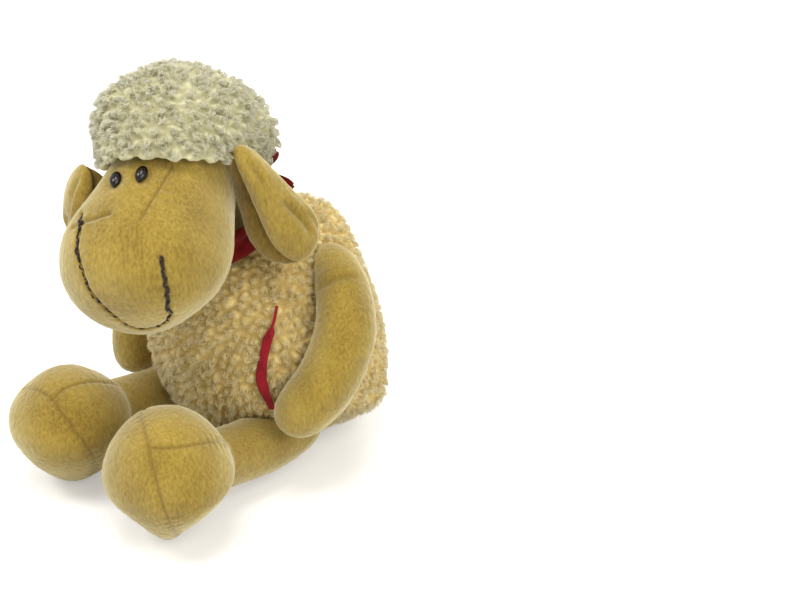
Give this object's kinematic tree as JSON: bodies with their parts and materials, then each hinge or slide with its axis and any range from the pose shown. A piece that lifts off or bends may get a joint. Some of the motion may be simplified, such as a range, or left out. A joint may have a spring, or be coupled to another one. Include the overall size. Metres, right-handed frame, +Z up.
{
  "type": "plush sheep",
  "caption": "Sitting plush sheep: fleece body and cap, velour head, hanging ears, arms, legs and big feet, red neckerchief; neck, ears, limbs and feet turn.",
  "frame": {"origin": "middle of the flat face of the seat, on the surface that the toy sits on", "axes": "+Z up; -Y the way the body faces; +X towards its own left"},
  "size_m": [0.1672, 0.1839, 0.2034],
  "materials": {
    "velour": "short golden tan pile",
    "ear_lining": "short pile, darker tan",
    "fleece": "curly cream fleece",
    "stuffing": "polyester fibre filling",
    "pellet_cloth": "plain woven bag",
    "red_cloth": "plain red cloth",
    "eye_plastic": "polished dark brown",
    "washer_plastic": "natural white",
    "thread": "black sewing thread"
  },
  "bodies": {
    "torso": {"body_skin": "fleece", "body_filling": "stuffing", "pellet_bag": "pellet_cloth", "side_tape": "red_cloth"},
    "neck": {"neck_filling": "stuffing", "neckerchief_band": "red_cloth", "neckerchief_knot": "red_cloth", "neckerchief_tip_upper": "red_cloth", "neckerchief_tip_lower": "red_cloth"},
    "head": {"head_skin": "velour", "head_filling": "stuffing", "mouth_thread": "thread", "wool_cap": "fleece", "eye_left": "eye_plastic", "eye_washer_left": "washer_plastic", "eye_right": "eye_plastic", "eye_washer_right": "washer_plastic"},
    "ear_left": {"ear_left_outer": "velour", "ear_left_lining": "ear_lining"},
    "arm_left": {"arm_left_skin": "velour", "arm_left_filling": "stuffing"},
    "leg_left": {"leg_left_skin": "velour", "leg_left_filling": "stuffing"},
    "foot_left": {"foot_left_upper": "velour", "foot_left_sole": "velour", "foot_left_filling": "stuffing"},
    "ear_right": {"ear_right_outer": "velour", "ear_right_lining": "ear_lining"},
    "arm_right": {"arm_right_skin": "velour", "arm_right_filling": "stuffing"},
    "leg_right": {"leg_right_skin": "velour", "leg_right_filling": "stuffing"},
    "foot_right": {"foot_right_upper": "velour", "foot_right_sole": "velour", "foot_right_filling": "stuffing"}
  },
  "joints": [
    {"name": "neck_turn", "type": "hinge", "parent": "torso", "child": "neck", "pos_m": [-0.00486, -0.02189, 0.11908], "axis": [-0.0764, -0.3438, 0.9359], "range_deg": [-40, 20]},
    {"name": "head_nod", "type": "hinge", "parent": "neck", "child": "head", "pos_m": [-0.008, -0.036, 0.1575], "axis": [0.8567, 0.4555, 0.2419], "range_deg": [-8, 10]},
    {"name": "ear_left_lift", "type": "hinge", "parent": "head", "child": "ear_left", "pos_m": [0.03326, -0.04124, 0.17421], "axis": [0.4695, -0.8829, 0], "range_deg": [0, 60]},
    {"name": "arm_left_swing", "type": "hinge", "parent": "torso", "child": "arm_left", "pos_m": [0.046, 0.003, 0.097], "axis": [-0.7741, -0.0505, -0.6311], "range_deg": [-22, 12]},
    {"name": "leg_left_splay", "type": "hinge", "parent": "torso", "child": "leg_left", "pos_m": [0.042, -0.03, 0.019], "axis": [0, 0, 1], "range_deg": [-4, 12]},
    {"name": "foot_left_tilt", "type": "hinge", "parent": "leg_left", "child": "foot_left", "pos_m": [0.037, -0.074, 0.022], "axis": [1, 0, 0], "range_deg": [-22, 0]},
    {"name": "ear_right_lift", "type": "hinge", "parent": "head", "child": "ear_right", "pos_m": [-0.0393, -0.0753, 0.15219], "axis": [-0.4695, 0.8829, 0], "range_deg": [0, 60]},
    {"name": "arm_right_swing", "type": "hinge", "parent": "torso", "child": "arm_right", "pos_m": [-0.046, 0.003, 0.097], "axis": [-0.7741, 0.0505, 0.6311], "range_deg": [-22, 12]},
    {"name": "leg_right_splay", "type": "hinge", "parent": "torso", "child": "leg_right", "pos_m": [-0.042, -0.03, 0.019], "axis": [0, 0, -1], "range_deg": [-4, 12]},
    {"name": "foot_right_tilt", "type": "hinge", "parent": "leg_right", "child": "foot_right", "pos_m": [-0.037, -0.074, 0.022], "axis": [1, 0, 0], "range_deg": [-22, 0]}
  ]
}
